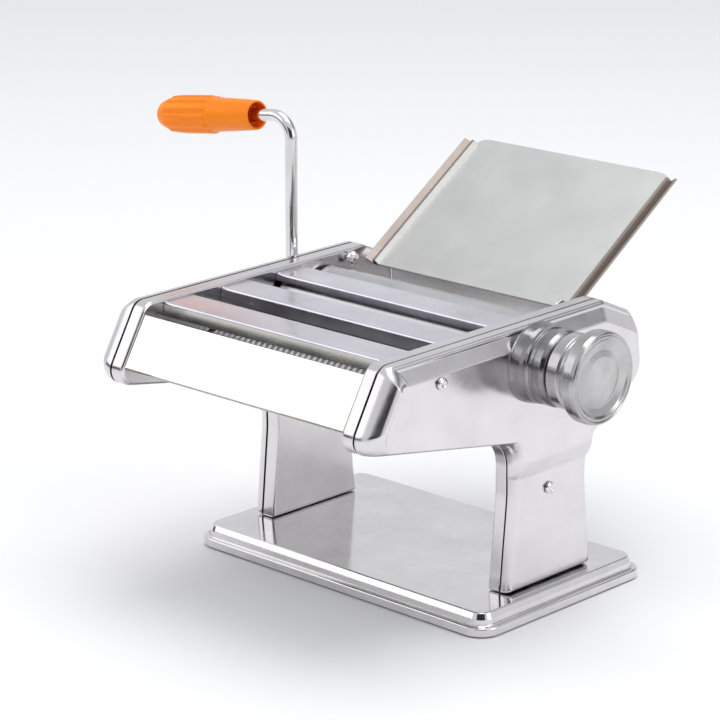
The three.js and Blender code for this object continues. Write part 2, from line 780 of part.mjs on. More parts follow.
const pin = rod(pinRadius, bossEndX - pinReach, knobInner - 0.8 - gap, 12);
add(sideView, "index_pin", pin, gearSteel, dialY + detentRadius, axisHeight);

const nutLength = 4;
const nutStart = shaftEnd - nutLength - 0.4;
const nut = cut(rod(7.5, nutStart, nutStart + nutLength, 6), rod(shaftRadius + gap, nutStart - 1, shaftEnd, 14));
add(sideView, "knob_nut", nut, gearSteel, dialY, axisHeight);

class Helix extends THREE.Curve {
  constructor(radius, z0, z1, turns) {
    super();
    Object.assign(this, { radius, z0, z1, turns });
  }

  getPoint(t) {
    const angle = 2 * Math.PI * this.turns * t;
    const z = this.z0 + (this.z1 - this.z0) * t;
    return new THREE.Vector3(this.radius * Math.cos(angle), this.radius * Math.sin(angle), z);
  }
}

const wire = 0.7;
const coilStart = knobInner + knobPull + gap + wire;
const coil = new Helix(shaftRadius + 2, coilStart, nutStart - gap - wire, 2);
const springOptions = { steps: 28, extrudePath: coil };
const spring = new THREE.ExtrudeGeometry(new THREE.Shape(circle(0, 0, wire, 5)), springOptions);
add(sideView, "knob_spring", facingOut(spring), gearSteel, dialY, axisHeight);

// ---------------------------------------------------------------- cutter rollers
const cutterPitchRadius = cutterSpacing / 2;
const halfCutterTooth = Math.PI / cutterTeeth;
const plainEnd = plateOuter + 1;

function cutterRoller(journal, leftEnd, socket) {
  const half = rollingWidth / 2;
  const left = socket
    ? [[0, leftEnd + socketDepth], [socketRadius, leftEnd + socketDepth], [socketRadius, leftEnd]]
    : [[0, leftEnd]];
  return turned(
    [
      ...left,
      [journal, leftEnd],
      [journal, -half],
      [cutterRadius, -half],
      [cutterRadius, half],
      [plainJournalRadius, half],
      [plainJournalRadius, plainEnd],
      [0, plainEnd],
    ],
    18,
  );
}

["rear", "middle", "front"].forEach((place, i) => {
  const { rearY, frontY, z } = cutterPairs[i];
  // Neighbouring pairs have their gears in different planes, so that they pass each other.
  const gearStart = -(plateOuter + 1.2 + (i % 2) * (gearWidth + 1));
  const gearStop = gearStart - gearWidth;
  const mateEnd = gearStop - 1;
  const spin = Math.PI + halfCutterTooth;
  const driveBore = driveJournalRadius + gap;
  const mateBore = plainJournalRadius + gap;
  const driveGear = gear(cutterPitchRadius, cutterTeeth, driveBore, gearStop, gearStart, spin);
  const mateGear = gear(cutterPitchRadius, cutterTeeth, mateBore, gearStop, gearStart);
  const driver = cutterRoller(driveJournalRadius, socketMouthX, true);
  const mate = cutterRoller(plainJournalRadius, mateEnd, false);
  add(sideView, `${place}_cutter_driver`, driver, rollerSteel, rearY, z);
  add(sideView, `${place}_cutter_mate`, mate, rollerSteel, frontY, z);
  add(sideView, `${place}_cutter_driver_gear`, driveGear, gearSteel, rearY, z);
  add(sideView, `${place}_cutter_mate_gear`, mateGear, gearSteel, frontY, z);
  // The comb hangs under the mate, clear of the tie rod, and strips the cut dough off it.
  const combTop = z - cutterRadius - 0.6;
  const combFront = frontY - (cutterPitch - cutterSpacing) / 2 + tieRadius + 1.35;
  const comb = sheetOutline([[combFront, combTop - 1], [frontY + 2.5, combTop]], 0.8);
  across(`${place}_cutter_comb`, comb.map((p) => p.clone().add(new THREE.Vector2(0, -0.8))), satinSteel);
});

// ---------------------------------------------------------------- crank
const bendHandle = (sweep) => (4 / 3) * Math.tan(sweep / 4);

// A path through the given points with a round bend at each inner one.
function bentPath(points, bends) {
  const path = new THREE.CurvePath();
  let from = points[0];
  bends.forEach((radius, i) => {
    const here = points[i + 1];
    const back = points[i].clone().sub(here).normalize();
    const ahead = points[i + 2].clone().sub(here).normalize();
    const sweep = Math.PI - back.angleTo(ahead);
    const tangent = radius * Math.tan(sweep / 2);
    const reach = tangent - radius * bendHandle(sweep);
    const start = back.clone().multiplyScalar(tangent).add(here);
    const end = ahead.clone().multiplyScalar(tangent).add(here);
    const startHandle = back.clone().multiplyScalar(reach).add(here);
    const endHandle = ahead.clone().multiplyScalar(reach).add(here);
    path.add(new THREE.LineCurve3(from, start));
    path.add(new THREE.CubicBezierCurve3(start, startHandle, endHandle, end));
    from = end;
  });
  path.add(new THREE.LineCurve3(from, points.at(-1)));
  return path;
}

// In the crank's own frame local z is the machine's X, and the driven roller's axis is its origin.
const crank = new THREE.Group();
crank.position.set(drivenY, axisHeight, 0);
sideView.add(crank);
const gripAxis = new THREE.Vector3(0, -Math.sin(gripDroop), -Math.cos(gripDroop));
const armTop = new THREE.Vector3(0, crankArm, armX);
const rodTip = armTop.clone().addScaledVector(gripAxis, gripStart + gripLength - 5.5);
const rodEnd = new THREE.Vector3(0, 0, socketMouthX + socketDepth - 1.5);
const crankPath = bentPath(
  [rodEnd, new THREE.Vector3(0, 0, armX), armTop, rodTip],
  [crankLowBend, crankHighBend],
);
const rodSteps = 56;
const rodSection = new THREE.Shape(circle(0, 0, crankRodRadius, 8));
const crankRod = new THREE.ExtrudeGeometry(rodSection, { steps: rodSteps, extrudePath: crankPath });
add(crank, "crank_rod", facingOut(crankRod), chrome);

const grip = new THREE.Group();
grip.position.copy(armTop);
grip.quaternion.setFromUnitVectors(new THREE.Vector3(0, 0, 1), gripAxis);
crank.add(grip);
const gripBore = crankRodRadius + running;
const gripEnd = gripStart + gripLength;
const washerRoom = 3;
const washerSeat = gripBore + 1.8;
const gripProfile = [
  [gripBore, gripStart + 2],
  [gripInnerRadius - 2.2, gripStart + 2],
  [gripInnerRadius - 1, gripStart],
  [gripInnerRadius, gripStart + 1.2],
  [gripInnerRadius + 0.6, gripStart + 8],
  [gripInnerRadius + 1, gripStart + 20],
  [gripMaxRadius - 0.4, gripStart + 34],
  [gripMaxRadius, gripStart + 48],
  [gripMaxRadius - 0.5, gripEnd - 12],
  [gripMaxRadius - 2, gripEnd - 4],
  [washerSeat + 1.3, gripEnd - 0.8],
  [washerSeat + 0.4, gripEnd],
  [washerSeat, gripEnd],
  [washerSeat, gripEnd - washerRoom],
  [gripBore, gripEnd - washerRoom],
];
add(grip, "crank_grip", turned(gripProfile, 18), orangePlastic);
// The rod's end is riveted over this washer, which keeps the grip on.
const washer = rod(washerSeat - 0.4, gripEnd - washerRoom + gap, gripEnd - 0.6, 16);
add(grip, "grip_rivet_washer", washer, gearSteel);

// ---------------------------------------------------------------- feed tray
// Local x runs up the slope, local y is the plate's normal and local z the machine's X.
const tray = new THREE.Group();
tray.position.set(...trayFoot, 0);
tray.rotation.z = traySlope;
sideView.add(tray);
const trayHalf = plateInner - 2;
const plateHalf = trayHalf - trayFlange + 0.6;
const endSetback = 4.5; // the flanges stop short of the plate's upper edge

// Seen along the slope, local x is the machine's X and local y the plate's normal.
function alongSlope(outline, from, to) {
  return extruded(outline, from, to).applyMatrix4(
    new THREE.Matrix4().makeBasis(
      new THREE.Vector3(0, 0, 1),
      new THREE.Vector3(0, 1, 0),
      new THREE.Vector3(-1, 0, 0),
    ),
  );
}

function trayPlate() {
  const corners = [
    [0, -plateHalf, 0.5],
    [trayLength, -plateHalf, trayCorner],
    [trayLength, plateHalf, trayCorner],
    [0, plateHalf, 0.5],
  ];
  const flat = filleted(corners, 5);
  const plate = extruded(flat, 0, traySheet);
  return plate.applyMatrix4(
    new THREE.Matrix4().makeBasis(
      new THREE.Vector3(1, 0, 0),
      new THREE.Vector3(0, 0, 1),
      new THREE.Vector3(0, -1, 0),
    ),
  );
}

function trayEdge(side) {
  const beadX = trayHalf - trayFlange - 1.8;
  const line = [
    [beadX - 0.6, 0],
    [beadX + 0.6, trayBead],
    [beadX + 2.6, trayBead],
    [beadX + 3.4, 0.2],
    [trayHalf - traySheet, trayFlangeRise],
  ];
  const outline = sheetOutline(line.toReversed(), traySheet).map(({ x, y }) => new THREE.Vector2(side * x, y));
  return alongSlope(outline, -(trayLength - endSetback), 0);
}

add(tray, "feed_tray", join(trayPlate(), trayEdge(-1), trayEdge(1)), satinSteel);

export default machine;
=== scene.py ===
import math

import bmesh
import bpy
import numpy as np
from mathutils import Matrix, Vector


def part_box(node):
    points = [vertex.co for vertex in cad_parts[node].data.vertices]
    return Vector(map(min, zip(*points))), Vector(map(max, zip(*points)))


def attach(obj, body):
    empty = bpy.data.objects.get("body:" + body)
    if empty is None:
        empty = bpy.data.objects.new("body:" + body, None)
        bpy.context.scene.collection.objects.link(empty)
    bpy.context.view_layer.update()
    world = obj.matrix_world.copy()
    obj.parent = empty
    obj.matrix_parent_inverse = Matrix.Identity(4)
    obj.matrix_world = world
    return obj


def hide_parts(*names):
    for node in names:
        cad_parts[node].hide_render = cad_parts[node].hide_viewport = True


MM = 0.001

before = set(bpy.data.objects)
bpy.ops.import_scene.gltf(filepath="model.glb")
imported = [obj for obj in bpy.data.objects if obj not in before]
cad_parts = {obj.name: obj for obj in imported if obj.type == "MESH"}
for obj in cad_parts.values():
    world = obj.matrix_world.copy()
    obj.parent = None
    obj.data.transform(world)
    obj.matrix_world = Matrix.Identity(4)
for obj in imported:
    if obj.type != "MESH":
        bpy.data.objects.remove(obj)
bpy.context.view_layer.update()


def span(node):
    """Lowest and highest corner of a CAD node, in millimetres."""
    low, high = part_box(node)
    return np.array(low) / MM, np.array(high) / MM


def middle(node):
    low, high = span(node)
    return (low + high) / 2


# ---------------------------------------------------------------- places taken from the frame
driven_axis = middle("driven_roller_gear")[1:]
adjustable_axis = middle("adjustable_roller_gear")[1:]
dial_axis = middle("knob_face")[1:]
base_low, base_high = span("base_plate")
seam_x = span("right_side_frame")[1][0]
plate_x = span("right_side_frame")[0][0]
cover_x = span("right_outer_cover")[0][0]
roller_radius = 13.5
rolling_half = 75
sheet = 1.2
head_depth = 9.5
leg_depth = 5.5
seam_room = 0.9  # of the frame's edge behind the seam, which leaves the dark line beside the cover
head_face_x = cover_x + head_depth
leg_face_x = cover_x + leg_depth
frame_low = span("right_side_frame")[0]


# ---------------------------------------------------------------- outlines
def unit(vector):
    return vector / np.linalg.norm(vector)


def rotated(vector, angle):
    c, s = math.cos(angle), math.sin(angle)
    return np.array((c * vector[0] - s * vector[1], s * vector[0] + c * vector[1]))


def cross(a, b):
    return a[0] * b[1] - a[1] * b[0]


def corner_arc(before, here, after, radius, steps):
    """An arc that rounds the corner at here, between its two neighbours."""
    back, ahead = before - here, after - here
    half = math.acos(np.clip(unit(back) @ unit(ahead), -1, 1)) / 2
    if radius <= 0 or abs(half - math.pi / 2) < 1e-4:
        return [here] * (steps + 1)
    limit = 0.45 * min(np.linalg.norm(back), np.linalg.norm(ahead))
    tangent = min(radius / math.tan(half), limit)
    bend = tangent * math.tan(half)
    centre = here + unit(unit(back) + unit(ahead)) * bend / math.sin(half)
    start = here + unit(back) * tangent - centre
    end = here + unit(ahead) * tangent - centre
    sweep = math.atan2(cross(start, end), start @ end)
    return [rotated(start, sweep * k / steps) + centre for k in range(steps + 1)]


def filleted(corners, steps=8, closed=True):
    """An outline, or an open line, with an arc at each (x, y, radius) corner."""
    spots = [np.array(corner[:2], float) for corner in corners]
    count = len(spots)
    points = []
    for i, corner in enumerate(corners):
        if not closed and i in (0, count - 1):
            points.append(spots[i])
            continue
        arc = corner_arc(spots[i - 1], spots[i], spots[(i + 1) % count], corner[2], steps)
        points.extend(arc)
    return np.array(points)


def area(points):
    x, y = points[:, 0], points[:, 1]
    return float(x @ np.roll(y, -1) - y @ np.roll(x, -1)) / 2


def inset(corners, borders):
    """Moves each edge of an outline inwards by its own border, keeping the corner radii."""
    spots = [np.array(corner[:2], float) for corner in corners]
    turn = math.copysign(1, area(np.array(spots)))
    edges = []
    for i, here in enumerate(spots):
        along = unit(spots[(i + 1) % len(spots)] - here)
        edges.append((here + np.array((-along[1], along[0])) * turn * borders[i], along))
    moved = []
    for i, corner in enumerate(corners):
        (start, along), (before, into) = edges[i], edges[i - 1]
        reach = cross(start - before, along) / cross(into, along)
        moved.append((*(before + into * reach), corner[2]))
    return moved


# ---------------------------------------------------------------- meshes
def new_object(name, vertices, faces):
    mesh = bpy.data.meshes.new(name)
    mesh.from_pydata((np.asarray(vertices, float) * MM).tolist(), [], faces)
    solid = bmesh.new()
    solid.from_mesh(mesh)
    bmesh.ops.remove_doubles(solid, verts=solid.verts, dist=1e-7)
    bmesh.ops.dissolve_degenerate(solid, edges=solid.edges, dist=1e-7)
    bmesh.ops.recalc_face_normals(solid, faces=solid.faces)
    solid.to_mesh(mesh)
    solid.free()
    made = bpy.data.objects.new(name, mesh)
    bpy.context.scene.collection.objects.link(made)
    return made


def from_side(points, x):
    """Side-view points (y, z) at one x, as points of the frame."""
    points = np.asarray(points, float)
    return np.column_stack((np.broadcast_to(x, len(points)), points))


def lofted(name, rings):
    """A closed skin through rings of equal point counts, with a flat cap at each end."""
    count = len(rings[0])
    faces = [list(range(count))[::-1], [(len(rings) - 1) * count + i for i in range(count)]]
    for r in range(len(rings) - 1):
        for i in range(count):
            a, b = r * count + i, r * count + (i + 1) % count
            faces.append((a, b, b + count, a + count))
    return new_object(name, np.vstack(rings), faces)


def about_x(axis):
    """Places a body turned about its own z axis on a line along X."""
    return np.array(((0, 1, 0), (0, 0, 1), (1, 0, 0))), np.array((0, axis[0], axis[1]))


def turned(name, profile, place, segments=64, closed=True):
    """A body turned from (radius, along) points. place is (rows of axes, origin)."""
    axes, origin = place
    angles = np.linspace(0, 2 * math.pi, segments, endpoint=False)
    rings = [
        np.column_stack((r * np.cos(angles), r * np.sin(angles), np.full(segments, z)))
        for r, z in profile
    ]
    points = np.vstack(rings) @ axes + origin
    count = len(profile)
    faces = []
    for r in range(count if closed else count - 1):
        a0, b0 = r * segments, ((r + 1) % count) * segments
        for i in range(segments):
            j = (i + 1) % segments
            faces.append((a0 + i, a0 + j, b0 + j, b0 + i))
    return new_object(name, points, faces)


def combined(target, operation, *tools):
    """Joins tools to target, or cuts them from it, and removes them."""
    for tool in tools:
        step = target.modifiers.new("step", "BOOLEAN")
        step.operation = operation
        step.object = tool
        step.solver = "MANIFOLD"
    depsgraph = bpy.context.evaluated_depsgraph_get()
    depsgraph.update()
    mesh = bpy.data.meshes.new_from_object(target.evaluated_get(depsgraph))
    target.modifiers.clear()
    target.data = mesh
    for tool in tools:
        bpy.data.objects.remove(tool)
    return target


def drills(holes, x0, x1):
    """Rods along X for (y, z, radius) holes."""
    rods = []
    for y, z, radius in holes:
        profile = [(0, x0), (radius, x0), (radius, x1), (0, x1)]
        rods.append(turned("drill", profile, about_x((y, z)), 48, closed=False))
    return rods


def finish(piece, look, body, nodes, angle=35, weighted=True):
    """Shades a new piece, gives it its material and body, and lets it stand for CAD nodes."""
    piece.data.materials.clear()
    piece.data.materials.append(look)
    piece.data.shade_smooth()
    piece.data.set_sharp_from_angle(angle=math.radians(angle))
    if weighted:
        even = piece.modifiers.new("even_shading", "WEIGHTED_NORMAL")
        even.keep_sharp = True
        even.weight = 80
    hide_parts(*nodes)
    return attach(piece, body)


# ---------------------------------------------------------------- materials
class Look:
    """A procedural material: a Principled shader and the textures that drive its sockets."""

    def __init__(self, name, **constants):
        self.material = bpy.data.materials.new(name)
        self.material.use_nodes = True
        self.nodes = self.material.node_tree.nodes
        self.links = self.material.node_tree.links
        self.shader = self.nodes["Principled BSDF"]
        for socket, value in constants.items():
            self.shader.inputs[socket.replace("_", " ")].default_value = value
        self.place = self.nodes.new("ShaderNodeTexCoord").outputs["Object"]

    def stretched(self, scale):
        mapping = self.nodes.new("ShaderNodeMapping")
        mapping.inputs["Scale"].default_value = scale
        self.links.new(self.place, mapping.inputs["Vector"])
        return mapping.outputs["Vector"]

    def noise(self, scale, detail=3, roughness=0.5, stretch=None):
        noise = self.nodes.new("ShaderNodeTexNoise")
        noise.inputs["Scale"].default_value = scale
        noise.inputs["Detail"].default_value = detail
        noise.inputs["Roughness"].default_value = roughness
        vector = self.stretched(stretch) if stretch else self.place
        self.links.new(vector, noise.inputs["Vector"])
        return noise.outputs["Fac"]

    def ramp(self, factor, *stops):
        ramp = self.nodes.new("ShaderNodeValToRGB")
        elements = ramp.color_ramp.elements
        while len(elements) < len(stops):
            elements.new(1)
        for element, (position, colour) in zip(elements, stops):
            element.position = position
            element.color = (*colour, 1)
        self.links.new(factor, ramp.inputs["Fac"])
        return ramp.outputs["Color"]

    def between(self, factor, low, high, at=(0.3, 0.7)):
        """A number from low to high as factor goes from at[0] to at[1]."""
        spread = self.nodes.new("ShaderNodeMapRange")
        for socket, value in zip(("From Min", "From Max", "To Min", "To Max"), (*at, low, high)):
            spread.inputs[socket].default_value = value
        self.links.new(factor, spread.inputs["Value"])
        return spread.outputs["Result"]

    def math(self, operation, a, b):
        node = self.nodes.new("ShaderNodeMath")
        node.operation = operation
        for socket, value in zip(node.inputs, (a, b)):
            if isinstance(value, (int, float)):
                socket.default_value = value
            else:
                self.links.new(value, socket)
        return node.outputs["Value"]

    def drive(self, socket, output):
        self.links.new(output, self.shader.inputs[socket])

    def bump(self, *layers):
        """Raises the surface by (height, distance in metres, strength) layers."""
        normal = None
        for height, distance, strength in layers:
            bump = self.nodes.new("ShaderNodeBump")
            bump.inputs["Distance"].default_value = distance
            bump.inputs["Strength"].default_value = strength
            self.links.new(height, bump.inputs["Height"])
            if normal is not None:
                self.links.new(normal, bump.inputs["Normal"])
            normal = bump.outputs["Normal"]
        self.drive("Normal", normal)
        return self.material


def metal(name, dull, bright, smooth, rough, grain, wave=0.00004, scratch=0.25):
    """Bare or plated metal: uneven polish, faint scratches along grain, and wavy sheet."""
    look = Look(name, Metallic=1.0)
    smudges = look.noise(38, 5, 0.6)
    look.drive("Base Color", look.ramp(smudges, (0.3, dull), (0.7, bright)))
    lines = look.noise(420, 4, 0.7, grain)
    polish = look.math("ADD", look.between(smudges, smooth, rough), look.between(lines, 0, 0.05))
    look.drive("Roughness", polish)
    waves = look.noise(22, 1, 0.4)
    return look.bump((waves, wave, 0.35), (lines, 0.00002, scratch))


ALONG_X, ROUND = (0.04, 1, 1), (1, 1, 1)
chrome = metal("chrome", (0.68, 0.66, 0.67), (0.77, 0.75, 0.76), 0.13, 0.22, (1, 0.1, 0.6))
bright_chrome = metal("bright_chrome", (0.66, 0.645, 0.64), (0.78, 0.765, 0.76), 0.05, 0.11, ROUND)
base_chrome = metal("base_chrome", (0.72, 0.7, 0.7), (0.84, 0.82, 0.82), 0.05, 0.14, ALONG_X)
# Chrome for the knob, darkened all over: painted shade that stands in for the dark reflections on
# the knob.
shade_painted_chrome = metal("shade_painted_chrome", (0.34, 0.33, 0.33), (0.58, 0.57, 0.565), 0.1, 0.2, (1, 0.1, 1))
# Chrome for the dial boss, darkened much further: painted shade that stands in for the dark
# reflections and the recess under the cover's border.
deep_shade_painted_chrome = metal("deep_shade_painted_chrome", (0.1, 0.098, 0.1), (0.4, 0.39, 0.39), 0.1, 0.22, (1, 0.1, 1))
FLAT_SHEET = 0.00002
mirror = metal(
    "mirror_panel", (0.94, 0.94, 0.76), (0.97, 0.97, 0.82), 0.06, 0.12, ALONG_X, FLAT_SHEET
)
strip_metal = metal("strip_steel", (0.66, 0.64, 0.7), (0.8, 0.78, 0.83), 0.16, 0.26, ALONG_X)
satin = metal(
    "satin_steel", (0.57, 0.57, 0.555), (0.6, 0.6, 0.585), 0.44, 0.5, ALONG_X, FLAT_SHEET / 2, 0.5
)
ground = metal("ground_rollers", (0.52, 0.52, 0.53), (0.66, 0.66, 0.67), 0.16, 0.26, ALONG_X)
machined = metal("machined_steel", (0.3, 0.3, 0.31), (0.45, 0.45, 0.46), 0.3, 0.45, (0.2, 1, 1))


def tray_look():
    """Satin sheet, with painted shade, darker and browner, on the flared flange along each side.
    """
    look = Look("tray_steel", Metallic=1.0)
    smudges, lines = look.noise(38, 5, 0.6), look.noise(420, 4, 0.7, ALONG_X)
    place = look.nodes.new("ShaderNodeSeparateXYZ")
    look.links.new(look.place, place.inputs["Vector"])
    across = look.math("ABSOLUTE", place.outputs["X"], 0)
    # Painted shade: the flared flange along each side is made darker and browner than the flat of
    # the tray.
    flange = (span("feed_tray")[1][0] - 7) * MM
    painted_flange_shade = look.math("MULTIPLY_ADD", look.between(across, 0, 0.6, (flange - 0.001, flange)), 1)
    look.links.new(look.between(smudges, 0.1, 0.4), painted_flange_shade.node.inputs[2])
    stops = (0.1, (0.56, 0.56, 0.545)), (0.4, (0.61, 0.61, 0.595)), (0.8, (0.3, 0.26, 0.235))
    look.drive("Base Color", look.ramp(painted_flange_shade, *stops))
    look.drive("Roughness", look.between(smudges, 0.42, 0.5))
    return look.bump((lines, 0.00002, 0.5))


def rubber_look():
    look = Look("rubber", Roughness=0.8)
    grains = look.noise(900, 3)
    look.drive("Base Color", look.ramp(look.noise(90), (0.3, (0.012,) * 3), (0.8, (0.03,) * 3)))
    return look.bump((grains, 0.0001, 0.5))


def nylon_look():
    look = Look("nylon", Roughness=0.5)
    cream, pale = (0.62, 0.58, 0.48), (0.74, 0.71, 0.62)
    look.drive("Base Color", look.ramp(look.noise(140), (0.3, cream), (0.7, pale)))
    return look.bump((look.noise(700, 2), 0.00006, 0.4))


def plastic_look(name, deep, light):
    """Moulded plastic: cloudy pigment, faint flow lines and an orange-peel skin."""
    look = Look(name, Specular_IOR_Level=0.22)
    flow = look.noise(60, 4, 0.6, (0.2, 1, 1))
    look.drive("Base Color", look.ramp(flow, (0.25, deep), (0.75, light)))
    look.drive("Roughness", look.between(look.noise(160, 3), 0.3, 0.42))
    return look.bump((look.noise(1100, 2), 0.00003, 0.5), (flow, 0.00008, 0.3))


tray_steel = tray_look()
rubber = rubber_look()
nylon = nylon_look()
orange = plastic_look("orange_plastic", (0.95, 0.2, 0.0), (1.0, 0.29, 0.002))
deep_orange = plastic_look("deep_orange_plastic", (0.75, 0.07, 0.006), (0.9, 0.12, 0.01))


# ---------------------------------------------------------------- base
base_corner = 12


def plate_ring(shrink, z):
    x, y = base_high[0] - shrink, base_high[1] - shrink
    r = base_corner - shrink
    corners = [(x, -y, r), (x, y, r), (-x, y, r), (-x, -y, r)]
    flat = filleted(corners, 10)
    return np.column_stack((flat, np.full(len(flat), z)))


def base_pan():
    rim, top = base_low[2], base_high[2]
    outside = [
        (26, top, 0),
        (5.2, top, 1.1),
        (3.6, top - 3.4, 1.2),
        (3.3, rim + 4.9, 0.5),
        (2.4, rim + 4.1, 0.5),
        (1.7, rim + 5.0, 0.8),
        (0, rim + 4.4, 1.6),
        (0, rim, 1.4),
        (1.2, rim, 0.6),
        (1.2, rim + 3.2, 1),
        (4.2, rim + 4, 1),
        (6, top - sheet, 1),
        (26, top - sheet, 0),
    ]
    line = filleted(outside, 4, closed=False)
    pan = lofted("base_pan", [plate_ring(shrink, z) for shrink, z in line])
    return finish(pan, base_chrome, "frame", ["base_plate"])


base_pan()

for foot in ("front_left", "front_right", "rear_left", "rear_right"):
    low, high = span(f"foot_{foot}")
    radius = (high[0] - low[0]) / 2
    profile = filleted(
        [
            (0, low[2], 0),
            (radius - 1.5, low[2], 0.6),
            (radius, low[2] + 1.5, 1.2),
            (radius - 1, high[2], 0.4),
            (0, high[2], 0),
        ],
        4,
        closed=False,
    )
    upright = np.eye(3), np.array((*middle(f"foot_{foot}")[:2], 0))
    pad = turned(f"foot_{foot}_pad", profile, upright, 40, closed=False)
    finish(pad, rubber, "frame", [f"foot_{foot}"])


# ---------------------------------------------------------------- side housings
# The housing's outline from the side, as (y, z, corner radius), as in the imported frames.
leg_front, leg_back = -28, 28.5
foot_z = frame_low[2]
head_top = span("rear_guide_strip")[1][2] + 3.2
axis_z = driven_axis[1]
driven_y = driven_axis[0]
waist_z = axis_z - 72
crease_z = axis_z - 66
nose_y = span("front_panel")[0][1] - 6.5
nose_z = middle("front_cutter_driver_gear")[2] - 14

foot_corners = [(leg_front - 4, foot_z, 1), (leg_front + 0.5, waist_z, 60)]
head_corners = [
    (leg_front, axis_z - 42, 17),
    (nose_y, nose_z, 8),
    (nose_y + 22.7, head_top - 1.9, 8),
    (driven_y + 29.6, head_top, 6),
    (driven_y + 55.1, axis_z + 8.3, 9),
    (driven_y + 59.4, axis_z - 24, 12),
    (leg_back + 1.5, axis_z - 49.5, 12),
]
heel_corners = [(leg_back, waist_z, 60), (leg_back + 5.5, foot_z, 1)]
housing = foot_corners + head_corners + heel_corners
crease = [(leg_back + 0.2, crease_z, 6), (leg_front + 0.2, crease_z, 6)]

cutters = {
    place: (middle(f"{place}_cutter_driver_gear")[1:], middle(f"{place}_cutter_mate_gear")[1:])
    for place in ("rear", "middle", "front")
}
journal_radius, drive_journal, plain_journal = 6, 5.6, 4
boss_radius = 19.4


def evened(corners, border):
    return filleted(inset(corners, [border] * len(corners)))


def side_frame(side, outwards):
    """A pressed plate with a rounded bend into the edge that reaches out to the seam."""
    bend = 1.6
    rings = []
    for k in range(6):
        angle = math.pi / 2 * k / 5
        rings.append((bend * (1 - math.sin(angle)), plate_x + bend * (1 - math.cos(angle))))
    lip_x = seam_x - seam_room
    rings += [(0, lip_x - 0.2), (0.2, lip_x), (sheet - 0.2, lip_x), (sheet, lip_x - 0.2)]
    rings += [(sheet, plate_x + bend + 0.4), (sheet + 0.4, plate_x + sheet)]
    skin = [from_side(evened(housing, border), outwards * x) for border, x in rings]
    plate = lofted(f"{side}_frame_shell", skin)
    driver_hole = drive_journal if side == "left" else plain_journal
    holes = [(*driven_axis, journal_radius + 3.1), (*dial_axis, 9.6)]
    for driver, mate in cutters.values():
        holes += [(*driver, driver_hole + 0.4), (*mate, plain_journal + 0.4)]
    ends = sorted((outwards * (plate_x - 1), outwards * (plate_x + 3)))
    combined(plate, "DIFFERENCE", *drills(holes, *ends))
    return finish(plate, chrome, "frame", [f"{side}_side_frame"])


# Kinds of border as (ridge, slope) weights, and the two widths of a border.
ROLLED, RIDGE, SLOPE = (0, 0), (1, 0), (0, 1)
NARROW, WIDE = 2.6, 11


def cover_height(share, ridge, slope, bead):
    """Height of the cover's skin over its border, as a share of its depth: a plain rolled
    edge, a round ridge that stands proud, or a flat slope."""
    rolled = math.sqrt(1 - (1 - share) ** 2)
    crest, foot = 0.66, 0.97
    if share < crest:
        ridged = (1 + bead) * math.sqrt(1 - (1 - share / crest) ** 2)
    else:
        fall = min(1, (share - crest) / (foot - crest))
        ridged = 1 + bead * (0.5 + 0.5 * math.cos(math.pi * fall))
    start, bend, run = 0.42, 0.05, 0.87
    if share < bend:
        sloped = start * math.sqrt(1 - (1 - share / bend) ** 2)
    else:
        sloped = min(1, start + (1 - start) * (share - bend) / run)
    return (1 - ridge - slope) * rolled + ridge * ridged + slope * sloped


# How far across the border each ring of the skin lies, from the rim to the flat face.
SHARES = (0, 0.003, 0.012, 0.03, 0.05, 0.09, 0.14, 0.2, 0.26, 0.32, 0.37, 0.42)
SHARES += (0.48, 0.54, 0.6, 0.66, 0.72, 0.78, 0.83, 0.88, 0.93, 0.97, 1)


def cover_level(name, corners, borders, kinds, depth, bead, wall):
    """One level of the cover: from the seam over its border to a flat face, less a wall.
    The face's corners are softer where one sloping border meets another."""
    steps, softening = 8, 12
    rim_corners = inset(corners, [wall] * len(corners))
    face_corners = inset(corners, [border + wall for border in borders])
    rim = filleted(rim_corners, steps)
    softer = [softening if kinds[i - 1] == kinds[i] == SLOPE else 1 for i in range(len(corners))]
    face = filleted([(y, z, r + more) for (y, z, r), more in zip(face_corners, softer)], steps)
    weights = []
    for i in range(len(corners)):
        before, after = np.array(kinds[i - 1]), np.array(kinds[i])
        weights += [before + (after - before) * k / steps for k in range(steps + 1)]
    base_x = cover_x - (1 if wall else 0)
    rings = [from_side(rim, base_x)] if wall else []
    for share in SHARES:
        points = rim + (face - rim) * share
        heights = [cover_height(share, *weight, bead) for weight in weights]
        rings.append(from_side(points, cover_x + np.array(heights) * (depth - wall)))
    return lofted(name, rings)




def cover_skin(wall):
    leg_kinds = [ROLLED] * len(housing)
    leg = cover_level("leg", housing, [NARROW] * len(housing), leg_kinds, leg_depth, 0, wall)
    # Under, front, top, shoulder, rear, slant, back, crease and armpit edges, in turn.
    borders = [NARROW, WIDE, WIDE, WIDE, 3.5, NARROW, NARROW, 15, NARROW]
    kinds = [ROLLED, RIDGE, SLOPE, SLOPE, ROLLED, ROLLED, ROLLED, SLOPE, ROLLED]
    bead = 0 if wall else 2.6 / head_depth
    head = cover_level("head", head_corners + crease, borders, kinds, head_depth, bead, wall)
    return combined(leg, "UNION", head)


def mirrored(piece, name):
    copy = bpy.data.objects.new(name, piece.data.copy())
    bpy.context.scene.collection.objects.link(copy)
    copy.data.transform(Matrix.Scale(-1, 4, (1, 0, 0)))
    copy.data.flip_normals()
    return copy


